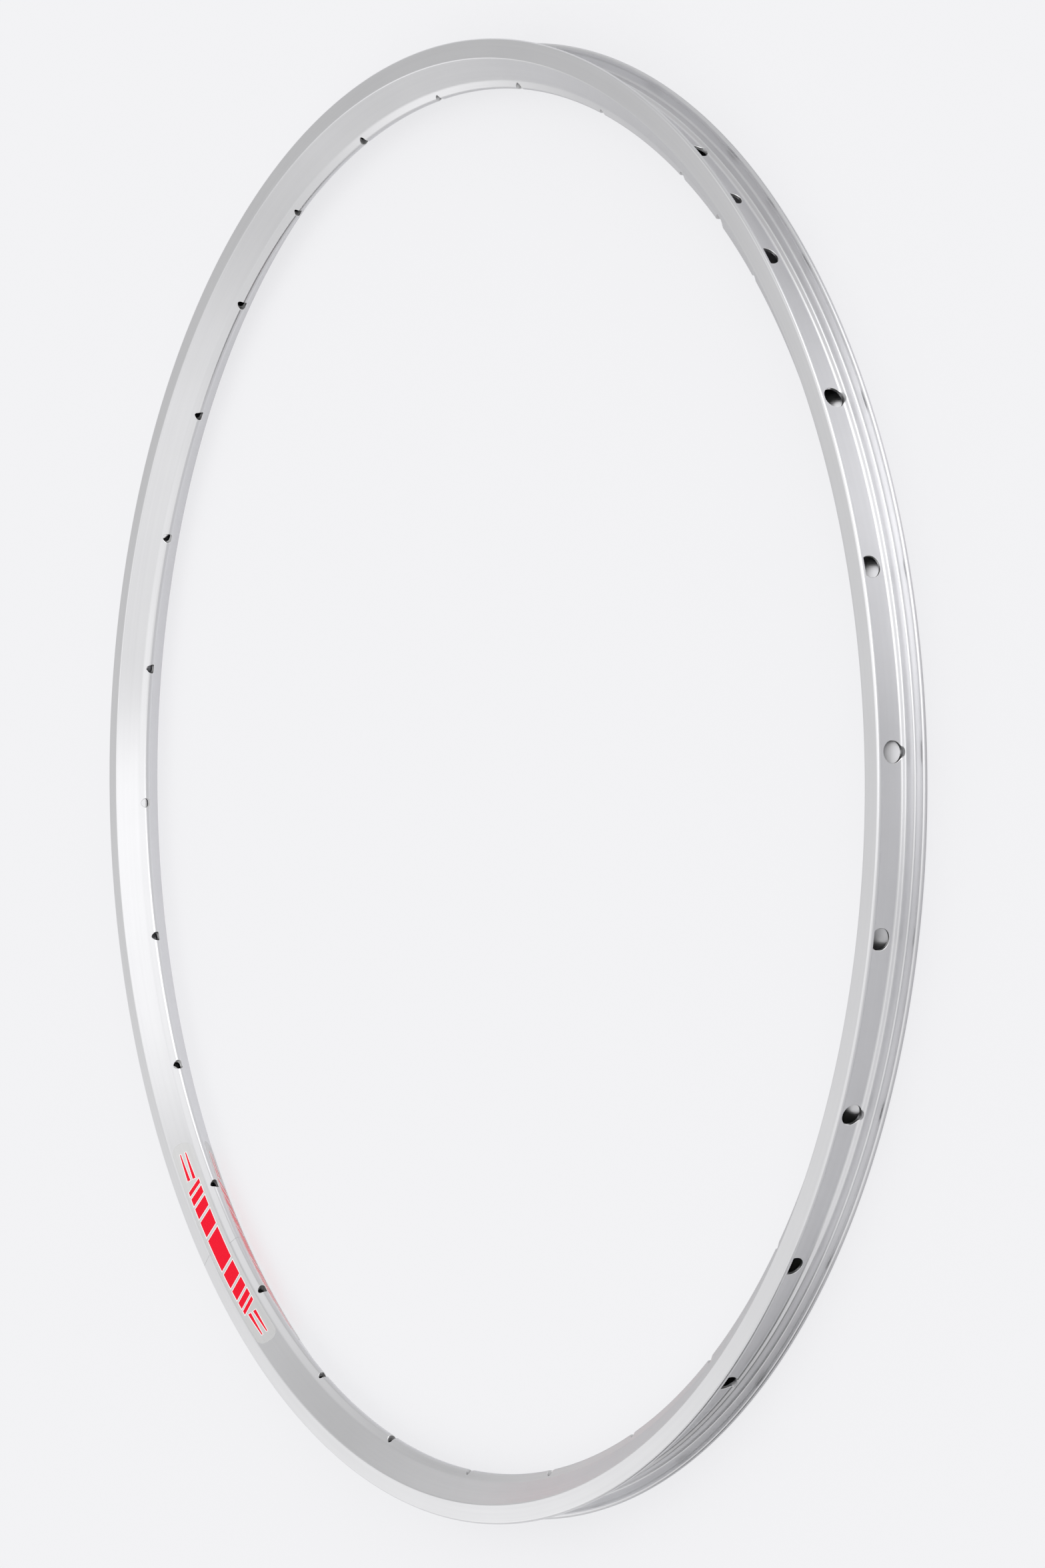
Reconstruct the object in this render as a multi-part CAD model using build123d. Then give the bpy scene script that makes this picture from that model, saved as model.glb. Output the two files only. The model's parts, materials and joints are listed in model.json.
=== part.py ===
from build123d import *
import os
from math import atan2, cos, degrees, hypot, sin, tan

# A double-wall clincher bicycle rim lying flat. The wheel's axis is +Z and its centre is the origin.
# The valve hole is on +X, and the seam where the rolled hoop's two ends meet is opposite, on -X.
# Section points are written as (radius from the wheel's axis, height above the mid-plane).

# Driving dimensions of the section, mm
BEAD_SEAT_DIAMETER = 622.0
RIM_WIDTH = 23.0             # across the two brake tracks
RIM_DEPTH = 20.0             # flange tip to spoke bed
FLANGE_HEIGHT = 6.0          # flange tip above the bead seat
FLANGE_WALL = 1.4
HOOK_REACH = 0.8             # how far the bead hook stands in from the flange wall
HOOK_HEIGHT = 1.9            # flange tip to the hook's lower edge
BRAKE_TRACK_HEIGHT = 8.3     # flange tip to the lower edge of the flat track
WELL_DEPTH = 1.6             # tyre well floor below the bead seat
WELL_WIDTH = 11.8            # between the well's upper edges
WELL_FLOOR_WIDTH = 9.4       # between the well's lower corners
BRIDGE_WALL = 1.1            # wall between the tyre bed and the cavity
SIDE_WALL = 1.0              # sloping wall from the brake track to the spoke bed
SPOKE_BED_WALL = 2.8
NOSE_WIDTH = 6.0             # rounded rib that carries the spoke holes, at its foot
NOSE_TIP_WIDTH = 2.2         # between its sloping sides where they reach the spoke bed
NOSE_HEIGHT = 3.3

# Roundings of the section's corners, mm
NOSE_ROUNDING = 1.5
CREASE_ROUNDING = 4.0
TRACK_ROUNDING = 1.0
TIP_ROUNDING = 1.05
HOOK_ROUNDING = 1.05
HOOK_ROOT_ROUNDING = 0.6
SEAT_ROUNDING = 1.0
WELL_EDGE_ROUNDING = 1.0
WELL_ROUNDING = 1.5
CAVITY_ROUNDING = 0.5

# Drilling, mm and degrees
SPOKE_PAIRS = 14             # neighbouring spoke holes lean to opposite sides
SPOKE_HOLE_DIAMETER = 4.45
ACCESS_HOLE_DIAMETER = 8.5   # lets the nipple through the tyre bed
DRILL_LEAN = 6.8             # lean of a spoke hole from the wheel's plane
DRILL_CROSSING = 3.3         # depth from the spoke bed at which a leaning hole meets the mid-plane
VALVE_HOLE_DIAMETER = 6.5

# Seam, sleeve and labels, mm
SEAM_GAP = 0.1
SLEEVE_WALL = 1.5
SLEEVE_CLEARANCE = 0.1       # to the cavity's bed and bridge
SLEEVE_END_CLEARANCE = 2.0   # to the nearest access hole
LABEL_LENGTH = 125.0
LABEL_THICKNESS = 0.1
LABEL_MARGIN = 0.15          # bare strip along each edge of the sloping wall's flat
LABEL_CORNER = 4.8

# Radii and heights that follow from them
seat_radius = BEAD_SEAT_DIAMETER / 2
tip_radius = seat_radius + FLANGE_HEIGHT
bed_radius = tip_radius - RIM_DEPTH
crease_radius = bed_radius + NOSE_HEIGHT
track_radius = tip_radius - BRAKE_TRACK_HEIGHT
well_radius = seat_radius - WELL_DEPTH
hook_radius = tip_radius - HOOK_HEIGHT
half_width = RIM_WIDTH / 2
flange_face = half_width - FLANGE_WALL
hook_face = flange_face - HOOK_REACH
nose_side = NOSE_WIDTH / 2
nose_tip_side = NOSE_TIP_WIDTH / 2
well_edge = WELL_WIDTH / 2
floor_edge = WELL_FLOOR_WIDTH / 2
crossing_radius = bed_radius + DRILL_CROSSING
hole_spacing = 360 / (2 * SPOKE_PAIRS)


def both_sides(half):
    """The corners of a whole section, from those of its upper half in order from the spoke bed outwards."""
    return half + [(radius, -height, *rest) for radius, height, *rest in reversed(half)]


def turn_at(before, corner, after):
    """The angle, in radians, by which an outline changes direction at a corner."""
    first = atan2(corner[1] - before[1], corner[0] - before[0])
    second = atan2(after[1] - corner[1], after[0] - corner[0])
    return abs(atan2(sin(second - first), cos(second - first)))


def rounded_face(corners, edge_share=0.98):
    """A section face from (radius, height, rounding) corners. Roundings take at most a share of each edge."""
    count = len(corners)
    lengths = [hypot(b[0] - a[0], b[1] - a[1]) for a, b in zip(corners, corners[1:] + corners[:1])]
    tangents = [tan(turn_at(corners[i - 1], corners[i], corners[(i + 1) % count]) / 2) for i in range(count)]
    needs = [corner[2] * tangent for corner, tangent in zip(corners, tangents)]
    fills = [(needs[i] + needs[(i + 1) % count]) / (edge_share * lengths[i]) for i in range(count)]
    radii = [corners[i][2] / max(1, fills[i - 1], fills[i]) for i in range(count)]
    outline = FilletPolyline([corner[:2] for corner in corners], radius=radii, close=True)
    return make_face(Plane.XZ * outline)


def inset(corners, walls):
    """The corners of a closed outline with the edge after each corner moved inwards by its own wall."""
    count = len(corners)
    lines = []
    for i in range(count):
        (r0, z0), (r1, z1) = corners[i][:2], corners[(i + 1) % count][:2]
        length = hypot(r1 - r0, z1 - z0)
        normal = ((z1 - z0) / length, (r0 - r1) / length)
        lines.append((*normal, normal[0] * r0 + normal[1] * z0 + walls[i]))
    moved = []
    for (a, b, c), (d, e, f) in zip(lines[-1:] + lines[:-1], lines):
        cross = a * e - b * d
        moved.append(((c * e - b * f) / cross, (a * f - c * d) / cross))
    return moved


def on_both_sides(half_walls, floor_wall, bed_wall):
    """One wall for each edge of a box outline: upper half, well floor, lower half, spoke bed."""
    return half_walls + [floor_wall] + half_walls[::-1] + [bed_wall]


def with_rounding(corners, rounding):
    return [(radius, height, rounding) for radius, height in corners]


# The closed box under the tyre bed, as the outline that its walls are measured from
box_outline = both_sides([
    (crease_radius, nose_side),
    (track_radius, half_width),
    (seat_radius, half_width),
    (seat_radius, well_edge),
    (well_radius, floor_edge),
])
cavity_outline = inset(
    box_outline,
    on_both_sides(
        [SIDE_WALL, FLANGE_WALL, BRIDGE_WALL, BRIDGE_WALL],
        BRIDGE_WALL,
        SPOKE_BED_WALL - NOSE_HEIGHT,
    ),
)


def arc(face, middle_angle, angle):
    """A section turned about the wheel's axis, spanning an angle about its middle."""
    return revolve(face, axis=Axis.Z, revolution_arc=angle).rotate(Axis.Z, middle_angle - angle / 2)


def drill(diameter, start, end, angle, lean):
    """A drill along a hole's axis, between two distances from where that axis meets the mid-plane."""
    bit = Cylinder(diameter / 2, end - start, align=(Align.CENTER, Align.CENTER, Align.MIN))
    return Rot(0, 0, angle) * Pos(crossing_radius, 0, 0) * Rot(0, 90 + lean, 0) * Pos(0, 0, start) * bit


def drills():
    """Every hole in the hoop: a spoke hole and its access hole on each leaning axis, and the valve hole."""
    below_bed = -RIM_DEPTH
    in_cavity = (cavity_outline[0][0] + well_radius - BRIDGE_WALL) / 2 - crossing_radius
    above_tips = RIM_DEPTH
    bits = [drill(VALVE_HOLE_DIAMETER, below_bed, above_tips, 0, 0)]
    for i in range(2 * SPOKE_PAIRS):
        angle = (i + 0.5) * hole_spacing
        lean = DRILL_LEAN if i % 2 == 0 else -DRILL_LEAN
        bits.append(drill(SPOKE_HOLE_DIAMETER, below_bed, above_tips, angle, lean))
        bits.append(drill(ACCESS_HOLE_DIAMETER, in_cavity, above_tips, angle, lean))
    return bits


def rim_hoop():
    """The rolled extrusion: flanges, tyre bed, hollow box and spoke bed, open at the seam and drilled."""
    section = rounded_face(both_sides([
        (bed_radius, nose_tip_side, NOSE_ROUNDING),
        (crease_radius, nose_side, CREASE_ROUNDING),
        (track_radius, half_width, TRACK_ROUNDING),
        (tip_radius, half_width, TIP_ROUNDING),
        (tip_radius, hook_face, HOOK_ROUNDING),
        (hook_radius, hook_face, HOOK_ROOT_ROUNDING),
        (hook_radius - HOOK_REACH, flange_face, HOOK_ROOT_ROUNDING),
        (seat_radius, flange_face, SEAT_ROUNDING),
        (seat_radius, well_edge, WELL_EDGE_ROUNDING),
        (well_radius, floor_edge, WELL_ROUNDING),
    ]))
    section -= rounded_face(with_rounding(cavity_outline, CAVITY_ROUNDING))
    seam = Pos(-seat_radius, 0, 0) * Box(2 * RIM_DEPTH, SEAM_GAP, 2 * RIM_WIDTH)
    return arc(section, 90, 360) - [seam, *drills()]


def joint_sleeve():
    """The hollow insert across the seam. It bears on the cavity's two sloping walls only."""
    low, high = cavity_outline[:2]
    corners = []
    for radius in (low[0] + SLEEVE_CLEARANCE, well_radius - BRIDGE_WALL - SLEEVE_CLEARANCE):
        corners.append((radius, low[1] + (radius - low[0]) * (high[1] - low[1]) / (high[0] - low[0])))
    outer = both_sides(corners)
    inner = inset(outer, [SLEEVE_WALL] * len(outer))
    section = rounded_face(with_rounding(outer, CAVITY_ROUNDING + SLEEVE_CLEARANCE))
    section -= rounded_face(with_rounding(inner, CAVITY_ROUNDING))
    to_hole = ACCESS_HOLE_DIAMETER / 2 + SLEEVE_END_CLEARANCE
    return arc(section, 180, hole_spacing - 2 * degrees(to_hole / crossing_radius))


def label(side):
    """The clear film on a sloping wall, centred over the seam: side 1 is the upper wall, -1 the lower."""
    rise, run = half_width - nose_side, track_radius - crease_radius
    length = hypot(rise, run)
    along = (run / length, rise / length)
    outward = (-rise / length, run / length)
    crease_turn = atan2(rise, run) - atan2(nose_side - nose_tip_side, NOSE_HEIGHT)
    start = CREASE_ROUNDING * tan(crease_turn / 2) + LABEL_MARGIN
    end = length - TRACK_ROUNDING * tan(atan2(run, rise) / 2) - LABEL_MARGIN
    points = []
    for distance, lift in ((start, 0), (end, 0), (end, LABEL_THICKNESS), (start, LABEL_THICKNESS)):
        radius = crease_radius + distance * along[0] + lift * outward[0]
        height = nose_side + distance * along[1] + lift * outward[1]
        points.append((radius, side * height))
    section = make_face(Plane.XZ * Polyline(points, close=True))
    middle_radius = crease_radius + (start + end) / 2 * along[0]
    film = arc(section, 180, degrees(LABEL_LENGTH / middle_radius))
    corners = film.edges().filter_by(lambda edge: edge.length < 2 * LABEL_THICKNESS)
    largest_corner = 0.45 * (end - start)
    return fillet(corners, min(LABEL_CORNER, largest_corner))


parts = {
    "rim_hoop": rim_hoop(),
    "joint_sleeve": joint_sleeve(),
    "label_upper": label(1),
    "label_lower": label(-1),
}
os.makedirs("parts", exist_ok=True)
for name, solid in parts.items():
    export_step(solid, f"parts/{name}.step")
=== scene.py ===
import json
from math import atan2, ceil, cos, pi, radians, sin, sqrt, tan

import bpy
import numpy as np
from mathutils import Matrix, Vector
from mathutils.bvhtree import BVHTree


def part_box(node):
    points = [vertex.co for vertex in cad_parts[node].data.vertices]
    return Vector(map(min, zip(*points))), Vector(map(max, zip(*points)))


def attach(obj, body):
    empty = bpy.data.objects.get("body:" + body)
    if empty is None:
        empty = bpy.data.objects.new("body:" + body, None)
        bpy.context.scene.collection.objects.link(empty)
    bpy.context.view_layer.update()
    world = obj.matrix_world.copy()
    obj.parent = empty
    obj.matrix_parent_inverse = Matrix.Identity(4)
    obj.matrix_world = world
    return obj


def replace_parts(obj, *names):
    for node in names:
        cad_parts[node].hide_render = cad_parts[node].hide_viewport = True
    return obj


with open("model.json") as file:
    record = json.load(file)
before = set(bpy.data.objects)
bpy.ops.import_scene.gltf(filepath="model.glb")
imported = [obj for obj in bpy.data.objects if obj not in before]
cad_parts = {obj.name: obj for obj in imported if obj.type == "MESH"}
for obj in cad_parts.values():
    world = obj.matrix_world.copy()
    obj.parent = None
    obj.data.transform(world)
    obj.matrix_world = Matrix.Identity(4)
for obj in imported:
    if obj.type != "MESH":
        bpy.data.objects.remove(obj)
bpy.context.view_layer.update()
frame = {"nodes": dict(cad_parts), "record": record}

# A satin aluminium bicycle rim lying flat on a pale floor. Lengths here are in millimetres, in the
# frame's axes: the wheel's axis is +Z, the valve hole is on +X and the hoop's seam is on -X.
MM = 0.001
mounts = {mount["name"]: mount for mount in frame["record"]["mounts"]}
spoke_holes = [mount for name, mount in sorted(mounts.items()) if name.startswith("spoke_hole")]
hoop_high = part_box("rim_hoop")[1] / MM

# Section of the hoop
TIP_RADIUS = hoop_high.x
HALF_WIDTH = hoop_high.z
SEAT_RADIUS = mounts["tyre_bead_seat"]["dims"]["r_mm"]
RIM_DEPTH = 20.0
FLANGE_WALL = 1.4
HOOK_REACH = 0.8
HOOK_HEIGHT = 1.9
BRAKE_TRACK_HEIGHT = 8.3
WELL_DEPTH = 1.6
WELL_EDGE = 5.9
WELL_FLOOR_EDGE = 4.7
BRIDGE_WALL = 1.1
SIDE_WALL = 1.0
SPOKE_BED_WALL = 2.8
NOSE_SIDE = 3.0              # half the width of the rib that carries the spoke holes, at its foot
NOSE_TIP_SIDE = 1.1          # the same where its sides reach the spoke bed
NOSE_HEIGHT = 3.3

# Roundings of the section's corners
NOSE_ROUNDING = 1.5
CREASE_ROUNDING = 4.0
TRACK_ROUNDING = 1.0
TIP_ROUNDING = 1.05
HOOK_ROUNDING = 1.05
HOOK_ROOT_ROUNDING = 0.6
SEAT_ROUNDING = 1.0
WELL_EDGE_ROUNDING = 1.0
WELL_ROUNDING = 1.5
CAVITY_ROUNDING = 0.5
ROUND_CHORD = 0.35           # longest chord in a rounding
ROUND_STEPS = 3              # fewest chords in a rounding
EDGE_SHARE = 0.98            # most of an edge that its two roundings may take
TURN_STEPS = 504             # steps round the hoop

# Drilled holes
ACCESS_HOLE_RADIUS = 4.25
BED_EDGE_BREAK = 0.28        # chamfer where a hole opens on the spoke bed
TYRE_EDGE_BREAK = 0.12       # the same on the tyre bed
HOLE_SIDES = 48
DRILL_OVERRUN = 4.0          # how far a drill stands out of the metal at each end
SEAM_GAP = 0.1
SEAM_OVERRUN = 1.0           # how far the saw cut stands out of the section
HOOP_SHARP_ANGLE = 35.0      # edges of the cut faces that turn by more stay sharp, degrees

# Labels on the two sloping walls, and the print on them
LABEL_LENGTH = 125.0
LABEL_THICKNESS = 0.1
LABEL_CORNER = 4.8
LABEL_CORNER_STEPS = 10
LABEL_STEP = 0.8             # length of the films' facets round the hoop
LABEL_MARGIN = 0.15          # bare strip along each edge of the sloping wall's flat
FILM_SHARP_ANGLE = 30.0      # the films' edges that turn by more stay sharp, degrees
INK = 0.015                  # thickness of a layer of print
INK_EDGE = 0.35              # white line round each printed shape
BLOCK_LOW = 2.7              # lower edge of the printed blocks, up the wall from its crease
BLOCK_HIGH = 9.7
BLOCK_LEAN = 2.4             # how far a block's slanted edges run to each side
BLOCKS = ((19.0, 2.2), (9.0, 2.0), (6.0, 1.8), (4.0, 1.6), (2.4, 1.4))   # width, and the gap after it
BAR_HEIGHTS = (7.6, 4.8)     # middles of the two bars at each end, up the wall from its crease
BAR_THICKNESS = 1.5          # at the end next to the blocks
BAR_TIP_THICKNESS = 0.5
BAR_GAP = 2.0                # from the last block's gap to the bars
BAR_LENGTH = 15.0
END_TRIM = 0.002             # share of a printed shape's length that is left off at its pointed ends

# Camera
CAMERA_PLACE = (1003.3, -1071.3, 884.7)
CAMERA_AIM = (36.4, -40.5, 0.0)
PICTURE_UP = 42.58           # direction in the rim's plane that points up in the picture, degrees
CAMERA_LENS = 90.79
SENSOR = 36.0                # side of the picture that the lens is given for
CLIP = (0.01, 100.0)         # nearest and farthest that the camera sees, metres

# Floor
FLOOR_HALF = 15000.0
FLOOR_COLOUR = (0.905, 0.905, 0.922, 1.0)
FLOOR_GLOW = 0.78            # share of the floor's look that is its own tone and not the light on it
GLOW_IN_METAL = 0.5          # the same share in reflections
# The floor's tone in reflections is painted: painted shade at the picture's right and inside the hoop, and a
# painted light spot
NEAR_PAINTED_SHADE = 0.45             # painted shade: how pale the floor's tone is in reflections at the picture's right, against its left
NEAR_PAINTED_SHADE_FADE = (-100.0, 200.0)   # where it fades, along the picture's right
INNER_PAINTED_SHADE = 0.45            # painted shade: the same inside the hoop, against under it
INNER_PAINTED_SHADE_FADE = (280.0, 297.0)   # where it fades, as radii
PAINTED_LIGHT_SPOT_PLACE = (304.0, -140.0, 0.0)  # middle of a painted light spot, a paler spot in reflections
PAINTED_LIGHT_SPOT_REACH = 110.0
PAINTED_LIGHT_SPOT_TONE = 0.55             # how much paler its middle is, painted light
FLOOR_GAP = 0.05             # between the floor and the rim's lower face

# Sky: an even level, and soft round panels as (azimuth, elevation, reach in degrees, change at the middle)
SKY_LEVEL = 0.648
SKY_PANELS = (
    (-1.3, 40.5, 44.9, 1.72),
    (218.8, 4.7, 29.2, -1.96),
    (87.9, 73.1, 58.5, -0.64),
    (8.9, 46.4, 38.2, -1.41),
    (89.2, 68.8, 44.4, 0.88),
    (-2.3, 20.5, 34.8, 1.04),
    (151.8, 29.3, 16.7, 0.64),
    (240.6, 68.1, 65.6, 0.43),
)
SKY_DARKEST = 0.02

bed_radius = TIP_RADIUS - RIM_DEPTH
crease_radius = bed_radius + NOSE_HEIGHT
track_radius = TIP_RADIUS - BRAKE_TRACK_HEIGHT
well_radius = SEAT_RADIUS - WELL_DEPTH
hook_radius = TIP_RADIUS - HOOK_HEIGHT
flange_face = HALF_WIDTH - FLANGE_WALL
hook_face = flange_face - HOOK_REACH


# Mesh helpers


def new_piece(name, points, faces, material, slot=None, body="root"):
    """A mesh object from points in millimetres, riding on a body of the frame."""
    mesh = bpy.data.meshes.new(name)
    mesh.from_pydata([tuple(MM * x for x in point) for point in points], [], faces)
    mesh.materials.append(material)
    mesh.polygons.foreach_set("use_smooth", [True] * len(mesh.polygons))
    piece = bpy.data.objects.new(name, mesh)
    bpy.context.scene.collection.objects.link(piece)
    if body:
        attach(piece, body)
    return piece


def both_sides(half):
    """The corners of a whole section, from those of its upper half in order from the spoke bed outwards."""
    return half + [(radius, -height, *rest) for radius, height, *rest in reversed(half)]


def rounded(corners):
    """Points of a closed section outline with each (radius, height, rounding) corner turned into an arc."""
    count = len(corners)
    flat = [Vector(corner[:2]) for corner in corners]
    edges = [(flat[(i + 1) % count] - flat[i]) for i in range(count)]
    turns = [edges[i - 1].angle(edges[i]) for i in range(count)]
    needs = [corner[2] * tan(turn / 2) for corner, turn in zip(corners, turns)]
    fills = [(needs[i] + needs[(i + 1) % count]) / (EDGE_SHARE * edges[i].length) for i in range(count)]
    points = []
    for i in range(count):
        radius = corners[i][2] / max(1, fills[i - 1], fills[i])
        back, onward = -edges[i - 1].normalized(), edges[i].normalized()
        inward = (back + onward).normalized()
        centre = flat[i] + inward * radius / cos(turns[i] / 2)
        side = Vector((-inward.y, inward.x))
        sweep = turns[i] if side.dot(onward) > 0 else -turns[i]
        steps = max(ROUND_STEPS, ceil(radius * turns[i] / ROUND_CHORD))
        for step in range(steps + 1):
            angle = sweep * (step / steps - 0.5)
            points.append(centre + radius * (side * sin(angle) - inward * cos(angle)))
    return points


def inset(corners, walls):
    """The corners of a closed outline with the edge after each corner moved inwards by its own wall."""
    count = len(corners)
    lines = []
    for i in range(count):
        start, end = Vector(corners[i]), Vector(corners[(i + 1) % count])
        along = (end - start).normalized()
        normal = Vector((along.y, -along.x))
        lines.append((normal, normal.dot(start) + walls[i]))
    moved = []
    for (first, a), (second, b) in zip(lines[-1:] + lines[:-1], lines):
        cross = first.x * second.y - first.y * second.x
        moved.append(((a * second.y - b * first.y) / cross, (b * first.x - a * second.x) / cross))
    return moved


def ring(outline, first_index):
    """Points and faces of a section outline turned once round the wheel's axis."""
    count = len(outline)
    points, faces = [], []
    for step in range(TURN_STEPS):
        angle = 2 * pi * step / TURN_STEPS
        points += [(r * cos(angle), r * sin(angle), z) for r, z in outline]
        here, there = first_index + step * count, first_index + (step + 1) % TURN_STEPS * count
        for i in range(count):
            j = (i + 1) % count
            faces.append((here + i, here + j, there + j, there + i))
    return points, faces


def tube(rings, first_index):
    """Points and faces of a closed tube through rings of equal length, capped at both ends."""
    count = len(rings[0])
    faces = []
    for k in range(len(rings) - 1):
        for i in range(count):
            j = (i + 1) % count
            low, high = first_index + k * count, first_index + (k + 1) * count
            faces.append((low + i, low + j, high + j, high + i))
    last = first_index + (len(rings) - 1) * count
    faces.append(tuple(range(first_index + count - 1, first_index - 1, -1)))
    faces.append(tuple(range(last, last + count)))
    return [point for points in rings for point in points], faces


# Materials


def material(name, **values):
    """A new material, with the constant values of its principled shader."""
    made = bpy.data.materials.new(name)
    made.use_nodes = True
    shader = made.node_tree.nodes["Principled BSDF"]
    for socket, value in values.items():
        shader.inputs[socket.replace("_", " ")].default_value = value
    return made, made.node_tree, shader


def add(tree, kind, inputs=None, **settings):
    """A node with its settings, and its inputs linked or set. Returns its first output."""
    node = tree.nodes.new(kind)
    for key, value in settings.items():
        setattr(node, key, value)
    for key, value in (inputs or {}).items():
        if isinstance(value, bpy.types.NodeSocket):
            tree.links.new(value, node.inputs[key])
        else:
            node.inputs[key].default_value = value
    return node.outputs[0]


def maths(tree, operation, a, b=0.0, clamp=False):
    return add(tree, "ShaderNodeMath", {0: a, 1: b}, operation=operation, use_clamp=clamp)


def spread(tree, value, low, high, to_low, to_high):
    """A value carried from one range to another, and held inside it."""
    inputs = {"Value": value, "From Min": low, "From Max": high, "To Min": to_low, "To Max": to_high}
    return add(tree, "ShaderNodeMapRange", inputs)


def blend(tree, share, first, second):
    """A colour between two colours."""
    node = tree.nodes.new("ShaderNodeMix")
    node.data_type = "RGBA"
    for socket, value in ((node.inputs[0], share), (node.inputs[6], first), (node.inputs[7], second)):
        if isinstance(value, bpy.types.NodeSocket):
            tree.links.new(value, socket)
        else:
            socket.default_value = value
    return node.outputs[2]


def grey(value, blue=0.0):
    return (value, value, value + blue, 1.0)


def wheel_coordinates(tree):
    """Radius and height in millimetres and angle in radians of the point that is shaded."""
    place = tree.nodes.new("ShaderNodeTexCoord").outputs["Object"]
    split = tree.nodes.new("ShaderNodeSeparateXYZ")
    tree.links.new(place, split.inputs[0])
    x, y, z = split.outputs
    squares = maths(tree, "ADD", maths(tree, "MULTIPLY", x, x), maths(tree, "MULTIPLY", y, y))
    radius = maths(tree, "DIVIDE", maths(tree, "SQRT", squares), MM)
    return radius, maths(tree, "DIVIDE", z, MM), maths(tree, "ARCTAN2", y, x)


def drawn_lines(tree, place, per_mm, per_radian, detail):
    """Noise drawn out along the hoop: so many grains to the millimetre across it, to the radian along it."""
    radius, height, angle = place
    across = maths(tree, "MULTIPLY", radius, per_mm)
    up = maths(tree, "MULTIPLY", height, per_mm)
    along = maths(tree, "MULTIPLY", angle, per_radian)
    vector = add(tree, "ShaderNodeCombineXYZ", {0: across, 1: up, 2: along})
    return add(tree, "ShaderNodeTexNoise", {"Vector": vector, "Scale": 1.0, "Detail": detail})


def specks(tree, place, spacing, size, share):
    """1 inside small spots scattered over the hoop, one in some of the cells of a grid, and 0 elsewhere."""
    radius, height, angle = place
    vector = add(tree, "ShaderNodeCombineXYZ", {
        0: radius, 1: height, 2: maths(tree, "MULTIPLY", angle, TIP_RADIUS)})
    cells = tree.nodes.new("ShaderNodeTexVoronoi")
    tree.links.new(vector, cells.inputs["Vector"])
    cells.inputs["Scale"].default_value = 1 / spacing
    lot = add(tree, "ShaderNodeSeparateColor", {0: cells.outputs["Color"]})
    chosen = maths(tree, "LESS_THAN", lot, share)
    near = maths(tree, "LESS_THAN", cells.outputs["Distance"], size / spacing)
    return maths(tree, "MULTIPLY", chosen, near)


def satin_aluminium():
    """Silver anodised aluminium: fine lines along the hoop, faint clouding, a few nicks on the flanges."""
    nick_reach, nick_angle = 0.7, 0.25   # below the flange tip in mm, and each way from the valve in radians
    made, tree, shader = material(
        "satin_aluminium", Metallic=1.0, Anisotropic=0.7, Anisotropic_Rotation=0.25,
        Coat_Weight=0.15, Coat_Roughness=0.15, Coat_IOR=1.6)
    place = wheel_coordinates(tree)
    fine = drawn_lines(tree, place, per_mm=7.0, per_radian=5.0, detail=3.0)
    broad = drawn_lines(tree, place, per_mm=0.8, per_radian=2.0, detail=2.0)
    cloud = drawn_lines(tree, place, per_mm=0.03, per_radian=9.0, detail=3.0)
    nicks = specks(tree, place, spacing=5.0, size=0.22, share=0.3)
    radius, _, angle = place
    edge = maths(tree, "GREATER_THAN", radius, TIP_RADIUS - nick_reach)
    valve_side = maths(tree, "LESS_THAN", maths(tree, "ABSOLUTE", angle), nick_angle)
    nicks = maths(tree, "MULTIPLY", nicks, maths(tree, "MULTIPLY", edge, valve_side))
    tone = maths(tree, "ADD", maths(tree, "MULTIPLY", cloud, 0.5), maths(tree, "MULTIPLY", broad, 0.5))
    tone = spread(tree, tone, 0.35, 0.65, 0.0, 1.0)
    colour = blend(tree, tone, grey(0.80, 0.015), grey(0.83, 0.015))
    tree.links.new(blend(tree, nicks, colour, grey(0.95)), shader.inputs["Base Color"])
    rough = spread(tree, fine, 0.3, 0.7, 0.28, 0.33)
    tree.links.new(maths(tree, "ADD", rough, maths(tree, "MULTIPLY", nicks, 0.3)), shader.inputs["Roughness"])
    bump = add(tree, "ShaderNodeBump", {"Height": fine, "Strength": 0.06, "Distance": 0.02 * MM})
    tree.links.new(bump, shader.inputs["Normal"])
    tangent = add(tree, "ShaderNodeTangent", direction_type="RADIAL", axis="Z")
    tree.links.new(tangent, shader.inputs["Tangent"])
    return made


def drilled_aluminium():
    """Bare metal in the drilled holes and on the hoop's sawn ends, with the tool's fine marks."""
    made, tree, shader = material("drilled_aluminium", Metallic=1.0)
    place = wheel_coordinates(tree)
    marks = drawn_lines(tree, place, per_mm=5.0, per_radian=400.0, detail=4.0)
    tree.links.new(blend(tree, marks, grey(0.8), grey(0.9)), shader.inputs["Base Color"])
    tree.links.new(spread(tree, marks, 0.3, 0.7, 0.28, 0.45), shader.inputs["Roughness"])
    bump = add(tree, "ShaderNodeBump", {"Height": marks, "Strength": 0.3, "Distance": 0.05 * MM})
    tree.links.new(bump, shader.inputs["Normal"])
    return made


def plain_aluminium():
    """The dull extruded metal of the insert inside the hoop."""
    made, tree, shader = material("plain_aluminium", Metallic=1.0)
    place = wheel_coordinates(tree)
    lines = drawn_lines(tree, place, per_mm=4.0, per_radian=6.0, detail=3.0)
    tree.links.new(blend(tree, lines, grey(0.6), grey(0.74)), shader.inputs["Base Color"])
    tree.links.new(spread(tree, lines, 0.3, 0.7, 0.4, 0.55), shader.inputs["Roughness"])
    return made


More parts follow.
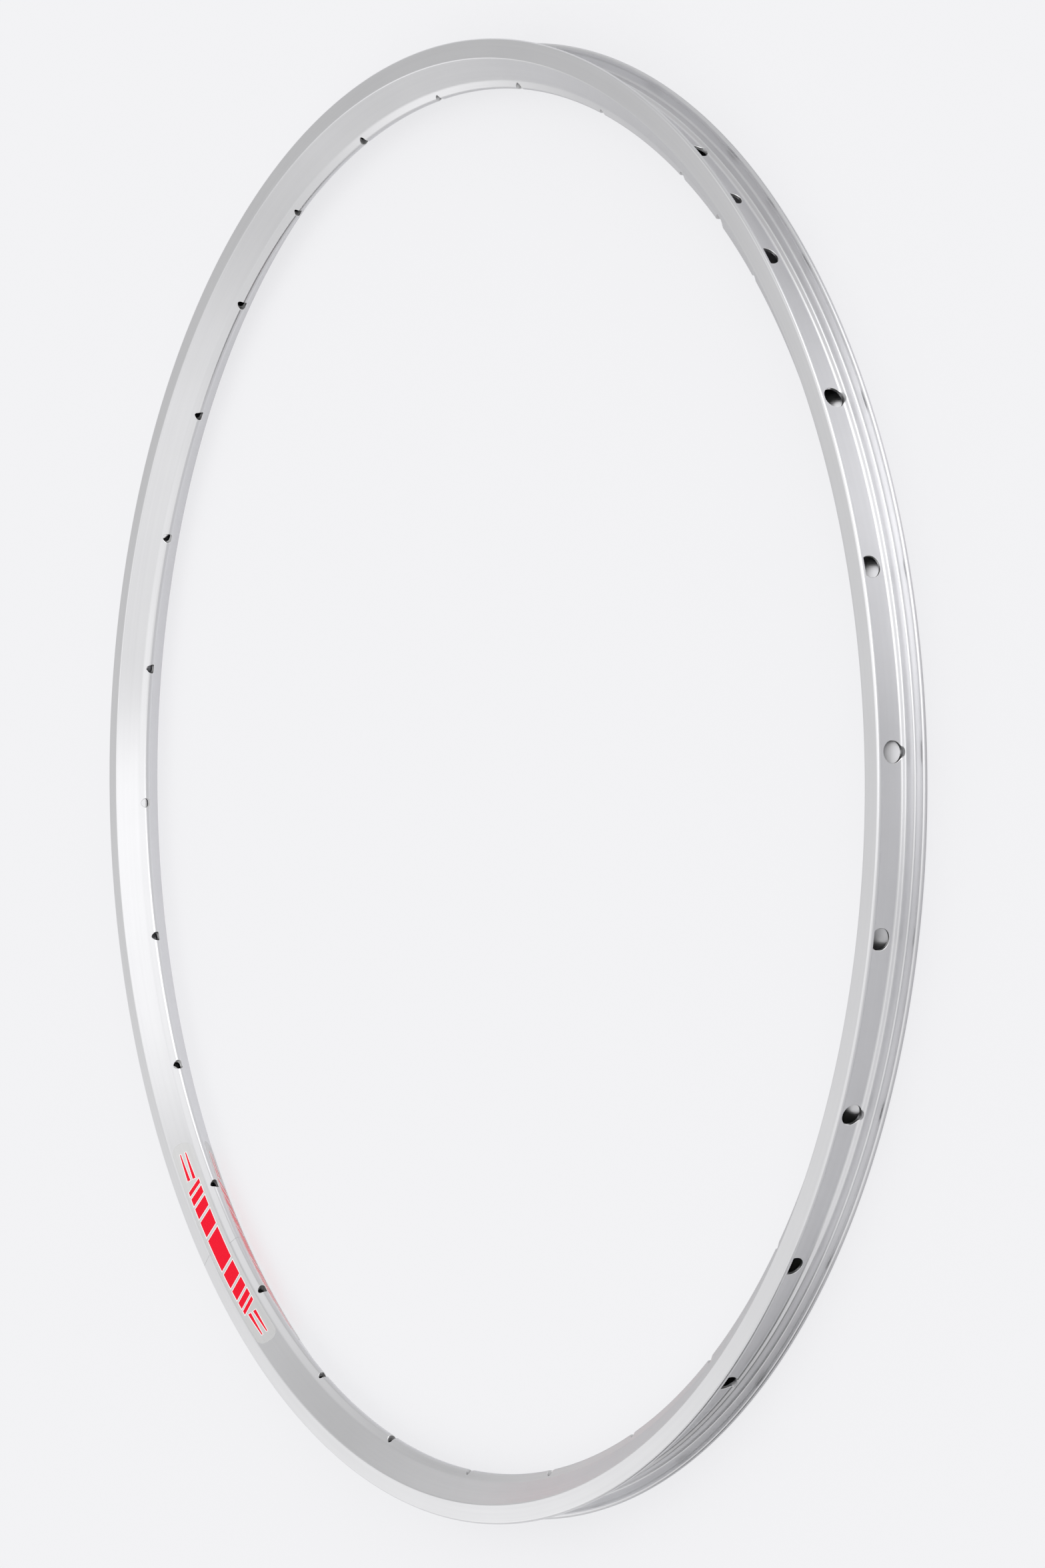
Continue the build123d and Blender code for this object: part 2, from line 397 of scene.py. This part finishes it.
def label_film():
    """Clear film over metal: greyer and softer than the bare wall, with a faint orange-peel surface."""
    made, tree, shader = material("label_film", Metallic=0.55, Coat_Weight=0.25, Coat_Roughness=0.2)
    place = wheel_coordinates(tree)
    lines = drawn_lines(tree, place, per_mm=1.2, per_radian=4.0, detail=2.0)
    peel = drawn_lines(tree, place, per_mm=0.9, per_radian=280.0, detail=2.0)
    tree.links.new(blend(tree, lines, grey(0.66), grey(0.71)), shader.inputs["Base Color"])
    tree.links.new(spread(tree, lines, 0.3, 0.7, 0.42, 0.5), shader.inputs["Roughness"])
    bump = add(tree, "ShaderNodeBump", {"Height": peel, "Strength": 0.1, "Distance": 0.02 * MM})
    tree.links.new(bump, shader.inputs["Normal"])
    return made


def ink(name, deep, light):
    """Screen-printed ink, with a slight unevenness of its layer."""
    made, tree, shader = material(
        name, Specular_IOR_Level=0.1, Coat_Weight=0.8, Coat_Roughness=0.12, Coat_IOR=1.2)
    place = wheel_coordinates(tree)
    layer = drawn_lines(tree, place, per_mm=2.0, per_radian=600.0, detail=3.0)
    tree.links.new(blend(tree, layer, deep, light), shader.inputs["Base Color"])
    tree.links.new(spread(tree, layer, 0.3, 0.7, 0.22, 0.32), shader.inputs["Roughness"])
    return made


# The hoop


def section_outlines():
    """The rounded outlines of the hoop's outside and of its cavity."""
    outside = both_sides([
        (bed_radius, NOSE_TIP_SIDE, NOSE_ROUNDING),
        (crease_radius, NOSE_SIDE, CREASE_ROUNDING),
        (track_radius, HALF_WIDTH, TRACK_ROUNDING),
        (TIP_RADIUS, HALF_WIDTH, TIP_ROUNDING),
        (TIP_RADIUS, hook_face, HOOK_ROUNDING),
        (hook_radius, hook_face, HOOK_ROOT_ROUNDING),
        (hook_radius - HOOK_REACH, flange_face, HOOK_ROOT_ROUNDING),
        (SEAT_RADIUS, flange_face, SEAT_ROUNDING),
        (SEAT_RADIUS, WELL_EDGE, WELL_EDGE_ROUNDING),
        (well_radius, WELL_FLOOR_EDGE, WELL_ROUNDING),
    ])
    box = both_sides([
        (crease_radius, NOSE_SIDE),
        (track_radius, HALF_WIDTH),
        (SEAT_RADIUS, HALF_WIDTH),
        (SEAT_RADIUS, WELL_EDGE),
        (well_radius, WELL_FLOOR_EDGE),
    ])
    half_walls = [SIDE_WALL, FLANGE_WALL, BRIDGE_WALL, BRIDGE_WALL]
    walls = half_walls + [BRIDGE_WALL] + half_walls[::-1] + [SPOKE_BED_WALL - NOSE_HEIGHT]
    cavity = [(radius, height, CAVITY_ROUNDING) for radius, height in inset(box, walls)]
    return rounded(outside), rounded(cavity)[::-1]


def circle(centre, axis, radius, depths):
    """A ring of points round an axis, each at its own depth along it."""
    side = axis.cross(Vector((0, 0, 1))).normalized()
    other = axis.cross(side)
    points = []
    for i, depth in enumerate(depths):
        angle = 2 * pi * i / len(depths)
        points.append(centre + axis * depth + radius * (side * cos(angle) + other * sin(angle)))
    return points


def surface_depths(surface, centre, axis, radius, start, towards):
    """Depths along an axis at which lines round it, followed from a start depth, first meet the surface."""
    depths = []
    for point in circle(centre, axis, radius, [start] * HOLE_SIDES):
        hit = surface.ray_cast(point, axis * towards)[0]
        depths.append((hit - centre).dot(axis))
    return depths


def hole_cutter(surface, mount, outer_radius):
    """Rings of a drill that opens narrow on the spoke bed and wide on the tyre bed, with broken edges."""
    centre, axis = Vector(mount["pos_m"]) / MM, Vector(mount["axis"]).normalized()
    narrow = mount["dims"]["r_mm"]
    bed = surface_depths(surface, centre, axis, narrow, -RIM_DEPTH, 1)
    bed_edge = surface_depths(surface, centre, axis, narrow + BED_EDGE_BREAK, -RIM_DEPTH, 1)
    tyre = surface_depths(surface, centre, axis, outer_radius, RIM_DEPTH, -1)
    tyre_edge = surface_depths(surface, centre, axis, outer_radius + TYRE_EDGE_BREAK, RIM_DEPTH, -1)
    middle = [(max(bed) + min(tyre)) / 2] * HOLE_SIDES
    step = [circle(centre, axis, radius, middle) for radius in (narrow, outer_radius)]
    bed_rim, tyre_rim = narrow + 2 * BED_EDGE_BREAK, outer_radius + 2 * TYRE_EDGE_BREAK
    return [
        circle(centre, axis, bed_rim, [min(bed) - DRILL_OVERRUN] * HOLE_SIDES),
        circle(centre, axis, bed_rim, [depth - BED_EDGE_BREAK for depth in bed_edge]),
        circle(centre, axis, narrow, [depth + BED_EDGE_BREAK for depth in bed]),
        *(step if outer_radius > narrow else step[:1]),
        circle(centre, axis, outer_radius, [depth - TYRE_EDGE_BREAK for depth in tyre]),
        circle(centre, axis, tyre_rim, [depth + TYRE_EDGE_BREAK for depth in tyre_edge]),
        circle(centre, axis, tyre_rim, [max(tyre) + DRILL_OVERRUN] * HOLE_SIDES),
    ]


def seam_cutter():
    """Two rings of a thin box across the hoop's section at the seam."""
    low, high, side = bed_radius - SEAM_OVERRUN, TIP_RADIUS + SEAM_OVERRUN, HALF_WIDTH + SEAM_OVERRUN
    corners = [(-low, -side), (-low, side), (-high, side), (-high, -side)]
    return [[(x, y, z) for x, z in corners] for y in (SEAM_GAP / 2, -SEAM_GAP / 2)]


def section_normals(outlines, points):
    """Smooth normals of turned outlines at points on them, as (radius, height) directions."""
    best = np.full(len(points), np.inf)
    normals = np.zeros((len(points), 2))
    for outline in outlines:
        corners = np.array(outline)
        chords = np.roll(corners, -1, axis=0) - corners
        across = chords + np.roll(chords, 1, axis=0)
        at_corner = np.stack([-across[:, 1], across[:, 0]], axis=1)
        at_corner /= np.linalg.norm(at_corner, axis=1, keepdims=True)
        for i in range(len(corners)):
            share = np.clip((points - corners[i]) @ chords[i] / (chords[i] @ chords[i]), 0, 1)
            gap = np.linalg.norm(points - corners[i] - share[:, None] * chords[i], axis=1)
            closer = gap < best
            best[closer] = gap[closer]
            ends = at_corner[i], at_corner[(i + 1) % len(corners)]
            mixed = (1 - share)[:, None] * ends[0] + share[:, None] * ends[1]
            normals[closer] = mixed[closer]
    return normals / np.linalg.norm(normals, axis=1, keepdims=True)


def hoop(metal, bare):
    """The drilled hoop, finely turned, with the section's own smooth normals."""
    outlines = section_outlines()
    points, faces = ring(outlines[0], 0)
    surface = BVHTree.FromPolygons(points, faces)
    more_points, more_faces = ring(outlines[1], len(points))
    piece = new_piece("hoop", points + more_points, faces + more_faces, metal, "anodised_aluminium")
    cut_points, cut_faces = [], []
    cutters = [hole_cutter(surface, hole, ACCESS_HOLE_RADIUS) for hole in spoke_holes]
    cutters.append(hole_cutter(surface, mounts["valve_hole"], mounts["valve_hole"]["dims"]["r_mm"]))
    for rings in cutters + [seam_cutter()]:
        more_points, more_faces = tube(rings, len(cut_points))
        cut_points += more_points
        cut_faces += more_faces
    cutter = new_piece("cutter", cut_points, cut_faces, bare, body=None)
    cut = piece.modifiers.new("holes", "BOOLEAN")
    cut.operation, cut.solver, cut.material_mode, cut.object = "DIFFERENCE", "EXACT", "TRANSFER", cutter
    mesh = bpy.data.meshes.new_from_object(piece.evaluated_get(bpy.context.evaluated_depsgraph_get()))
    piece.modifiers.clear()
    piece.data = mesh
    bpy.data.objects.remove(cutter)
    set_section_normals(mesh, outlines)
    return piece


def set_section_normals(mesh, outlines):
    """Gives every turned face the section's own normals; the cut faces keep those of their own edges."""
    mesh.set_sharp_from_angle(angle=radians(HOOP_SHARP_ANGLE))
    normals = np.zeros(len(mesh.loops) * 3)
    mesh.corner_normals.foreach_get("vector", normals)
    normals = normals.reshape(-1, 3)
    places = np.zeros(len(mesh.vertices) * 3)
    mesh.vertices.foreach_get("co", places)
    places = places.reshape(-1, 3) / MM
    corners = np.zeros(len(mesh.loops), dtype=int)
    mesh.loops.foreach_get("vertex_index", corners)
    turned = np.concatenate([[face.material_index == 0] * face.loop_total for face in mesh.polygons])
    used, index = np.unique(corners[turned], return_inverse=True)
    angle = np.arctan2(places[used, 1], places[used, 0])
    radius = np.hypot(places[used, 0], places[used, 1])
    section = section_normals(outlines, np.stack([radius, places[used, 2]], axis=1))
    smooth = np.stack([section[:, 0] * np.cos(angle), section[:, 0] * np.sin(angle), section[:, 1]], axis=1)
    normals[turned] = smooth[index]
    mesh.normals_split_custom_set(normals)


# The labels

# The flat of a sloping wall, measured up it from its crease, and where a film starts and ends on it
wall_rise, wall_run = HALF_WIDTH - NOSE_SIDE, track_radius - crease_radius
wall_length = sqrt(wall_rise ** 2 + wall_run ** 2)
crease_turn = atan2(wall_rise, wall_run) - atan2(NOSE_SIDE - NOSE_TIP_SIDE, NOSE_HEIGHT)
label_start = CREASE_ROUNDING * tan(crease_turn / 2) + LABEL_MARGIN
label_end = wall_length - TRACK_ROUNDING * tan(atan2(wall_run, wall_rise) / 2) - LABEL_MARGIN
label_radius = crease_radius + (label_start + label_end) / 2 * wall_run / wall_length


def wall_point(side, along, up, lift):
    """A point on a sloping wall: along the hoop from the seam, up from its crease, and off its surface."""
    radius = crease_radius + (up * wall_run - lift * wall_rise) / wall_length
    height = NOSE_SIDE + (up * wall_rise + lift * wall_run) / wall_length
    angle = pi + along / label_radius
    return radius * cos(angle), radius * sin(angle), side * height


def film(name, side, columns, low, high, material):
    """A thin closed layer on a sloping wall, from columns of (along, lower edge, upper edge)."""
    rings = []
    for along, start, end in (columns if side > 0 else columns[::-1]):
        corners = ((start, low), (end, low), (end, high), (start, high))
        rings.append([wall_point(side, along, up, lift) for up, lift in corners])
    piece = new_piece(name, *tube(rings, 0), material, "label_film")
    piece.data.set_sharp_from_angle(angle=radians(FILM_SHARP_ANGLE))
    return piece


def label_columns():
    """Columns of the whole film, whose corners are quarter circles."""
    half, steps = LABEL_LENGTH / 2, LABEL_CORNER_STEPS
    ends = [half - LABEL_CORNER * (1 - sin(pi / 2 * i / steps)) for i in range(steps + 1)]
    flat = int(2 * (half - LABEL_CORNER) / LABEL_STEP)
    middle = [(half - LABEL_CORNER) * (2 * i / flat - 1) for i in range(1, flat)]
    columns = []
    for along in sorted([-x for x in ends] + middle + ends):
        depth = max(0.0, abs(along) - half + LABEL_CORNER)
        drop = LABEL_CORNER - sqrt(LABEL_CORNER ** 2 - depth ** 2)
        columns.append((along, label_start + drop, label_end - drop))
    return columns


def shape_columns(corners):
    """Columns of a convex printed shape given by its (along, up) corners."""
    edges = list(zip(corners, corners[1:] + corners[:1]))
    low, high = min(x for x, _ in corners), max(x for x, _ in corners)
    margin = END_TRIM * (high - low)
    inside = sorted(x for x, _ in corners if low + margin < x < high - margin)
    stops = [low + margin] + inside + [high - margin]
    places = []
    for a, b in zip(stops, stops[1:]):
        count = max(1, int((b - a) / LABEL_STEP))
        places += [a + (b - a) * i / count for i in range(count)]
    columns = []
    for x in places + stops[-1:]:
        cuts = [
            a[1] + (b[1] - a[1]) * (x - a[0]) / (b[0] - a[0])
            for a, b in edges if a[0] != b[0] and min(a[0], b[0]) <= x <= max(a[0], b[0])
        ]
        columns.append((x, min(cuts), max(cuts)))
    return columns


def printed_shapes():
    """Corners of the print: slanted blocks that shrink towards the ends, then pairs of tapering bars."""
    shapes = []
    edge = 0.0
    for width, gap in BLOCKS:
        start = edge if shapes else -width / 2
        edge = start + width + gap
        for left in (start, -start - width) if shapes else (start,):
            right = left + width
            shapes.append([
                (left - BLOCK_LEAN, BLOCK_LOW), (left + BLOCK_LEAN, BLOCK_HIGH),
                (right + BLOCK_LEAN, BLOCK_HIGH), (right - BLOCK_LEAN, BLOCK_LOW)])
    near, far = edge + BAR_GAP, edge + BAR_GAP + BAR_LENGTH
    thick, thin = BAR_THICKNESS / 2, BAR_TIP_THICKNESS / 2
    for sign in (-1, 1):
        for middle in BAR_HEIGHTS:
            bar = [(near, middle - thick), (near, middle + thick), (far, middle + thin), (far, middle - thin)]
            shapes.append(bar if sign > 0 else [(-x, up) for x, up in bar[::-1]])
    return shapes


def label(side, word, clear, red, white):
    """One label: its film, and its print in two layers, a white ground that shows as an edge and the red."""
    base = film(f"label_{word}_film", side, label_columns(), 0.0, LABEL_THICKNESS, clear)
    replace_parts(base, f"label_{word}")
    for number, corners in enumerate(printed_shapes()):
        ground = inset(corners, [-INK_EDGE] * len(corners))
        top = LABEL_THICKNESS + INK
        film(f"label_{word}_ground_{number:02d}", side, shape_columns(ground), LABEL_THICKNESS, top, white)
        film(f"label_{word}_red_{number:02d}", side, shape_columns(corners), top, top + INK, red)


# The object

metal = satin_aluminium()
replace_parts(hoop(metal, drilled_aluminium()), "rim_hoop")
frame["nodes"]["joint_sleeve"].data.materials.clear()
frame["nodes"]["joint_sleeve"].data.materials.append(plain_aluminium())
clear = label_film()
red = ink("red_ink", (0.80, 0.004, 0.022, 1), (0.88, 0.008, 0.030, 1))
white = ink("white_ink", grey(0.85), grey(0.92))
label(1, "upper", clear, red, white)
label(-1, "lower", clear, red, white)


# Floor, light and camera


def direction(azimuth, elevation):
    a, e = radians(azimuth), radians(elevation)
    return Vector((cos(a) * cos(e), sin(a) * cos(e), sin(e)))


def distance_along(tree, coordinates, towards):
    """How far a shaded point, or the direction of a ray into the sky, goes along a direction."""
    node = tree.nodes.new("ShaderNodeVectorMath")
    node.operation = "DOT_PRODUCT"
    node.inputs[1].default_value = towards
    tree.links.new(tree.nodes.new("ShaderNodeTexCoord").outputs[coordinates], node.inputs[0])
    return node.outputs["Value"]


def painted_reflection_tone(tree):
    """Painted shade and painted light in reflections: the floor's tone there is darker at the picture's right
    and in the hoop, with a paler spot.
    """
    start, end = NEAR_PAINTED_SHADE_FADE
    to_right = distance_along(tree, "Object", direction(PICTURE_UP - 90, 0))
    tone = spread(tree, to_right, start * MM, end * MM, 1.0, NEAR_PAINTED_SHADE)
    radius = wheel_coordinates(tree)[0]
    tone = maths(tree, "MULTIPLY", tone, spread(tree, radius, *INNER_PAINTED_SHADE_FADE, INNER_PAINTED_SHADE, 1.0))
    distance = tree.nodes.new("ShaderNodeVectorMath")
    distance.operation = "DISTANCE"
    distance.inputs[1].default_value = Vector(PAINTED_LIGHT_SPOT_PLACE) * MM
    tree.links.new(tree.nodes.new("ShaderNodeTexCoord").outputs["Object"], distance.inputs[0])
    # a painted light spot in reflections
    spot = spread(tree, distance.outputs["Value"], 0.0, PAINTED_LIGHT_SPOT_REACH * MM, PAINTED_LIGHT_SPOT_TONE, 0.0)
    return maths(tree, "ADD", tone, spot)


def floor():
    """A pale floor. The camera and reflections see part of it in its own tone, so its shadow is faint. In
    reflections that tone holds painted shade and a painted light spot.
    """
    low, side = -HALF_WIDTH - FLOOR_GAP, FLOOR_HALF
    corners = [(-side, -side, low), (side, -side, low), (side, side, low), (-side, side, low)]
    made, tree, shader = material(
        "pale_floor_painted_reflections", Roughness=1.0, Base_Color=FLOOR_COLOUR, Specular_IOR_Level=0.0)
    path = tree.nodes.new("ShaderNodeLightPath").outputs
    reflected = maths(tree, "ADD", path["Is Glossy Ray"], path["Is Transmission Ray"], clamp=True)
    share = maths(tree, "MULTIPLY", path["Is Camera Ray"], FLOOR_GLOW)
    share = maths(tree, "ADD", share, maths(tree, "MULTIPLY", reflected, GLOW_IN_METAL))
    # painted shade and painted light on the floor, seen only in reflections
    tone = maths(tree, "MULTIPLY", painted_reflection_tone(tree), reflected)
    tone = maths(tree, "ADD", tone, path["Is Camera Ray"])
    glow = add(tree, "ShaderNodeEmission", {"Color": FLOOR_COLOUR, "Strength": tone})
    mixed = add(tree, "ShaderNodeMixShader", {0: share, 1: shader.outputs[0], 2: glow})
    tree.links.new(mixed, tree.nodes["Material Output"].inputs["Surface"])
    plane = new_piece("floor", corners, [(0, 1, 2, 3)], made, body=None)


def studio_sky():
    """An even sky with soft round panels that are brighter or darker. The camera sees it as the floor."""
    world = bpy.data.worlds.new("studio")
    world.use_nodes = True
    tree = world.node_tree
    total = SKY_LEVEL
    for azimuth, elevation, reach, change in SKY_PANELS:
        nearness = distance_along(tree, "Generated", direction(azimuth, elevation))
        panel = spread(tree, nearness, cos(radians(reach)), 1.0, 0.0, change)
        total = maths(tree, "ADD", panel, total)
    seen = tree.nodes.new("ShaderNodeLightPath").outputs["Is Camera Ray"]
    light = maths(tree, "MAXIMUM", total, SKY_DARKEST)
    strength = maths(tree, "MULTIPLY", light, maths(tree, "SUBTRACT", 1.0, seen))
    back = tree.nodes["Background"]
    tree.links.new(blend(tree, seen, grey(1.0), FLOOR_COLOUR), back.inputs["Color"])
    tree.links.new(maths(tree, "ADD", strength, seen), back.inputs["Strength"])
    bpy.context.scene.world = world


def camera():
    data = bpy.data.cameras.new("camera")
    data.lens, data.sensor_width = CAMERA_LENS, SENSOR
    data.clip_start, data.clip_end = CLIP
    made = bpy.data.objects.new("camera", data)
    bpy.context.scene.collection.objects.link(made)
    place, aim = Vector(CAMERA_PLACE) * MM, Vector(CAMERA_AIM) * MM
    forward = (aim - place).normalized()
    right = forward.cross(Vector((cos(radians(PICTURE_UP)), sin(radians(PICTURE_UP)), 0))).normalized()
    up = right.cross(forward)
    made.matrix_world = Matrix.Translation(place) @ Matrix((right, up, -forward)).transposed().to_4x4()
    bpy.context.scene.camera = made


floor()
studio_sky()
bpy.context.scene.view_settings.view_transform = "Standard"
camera()
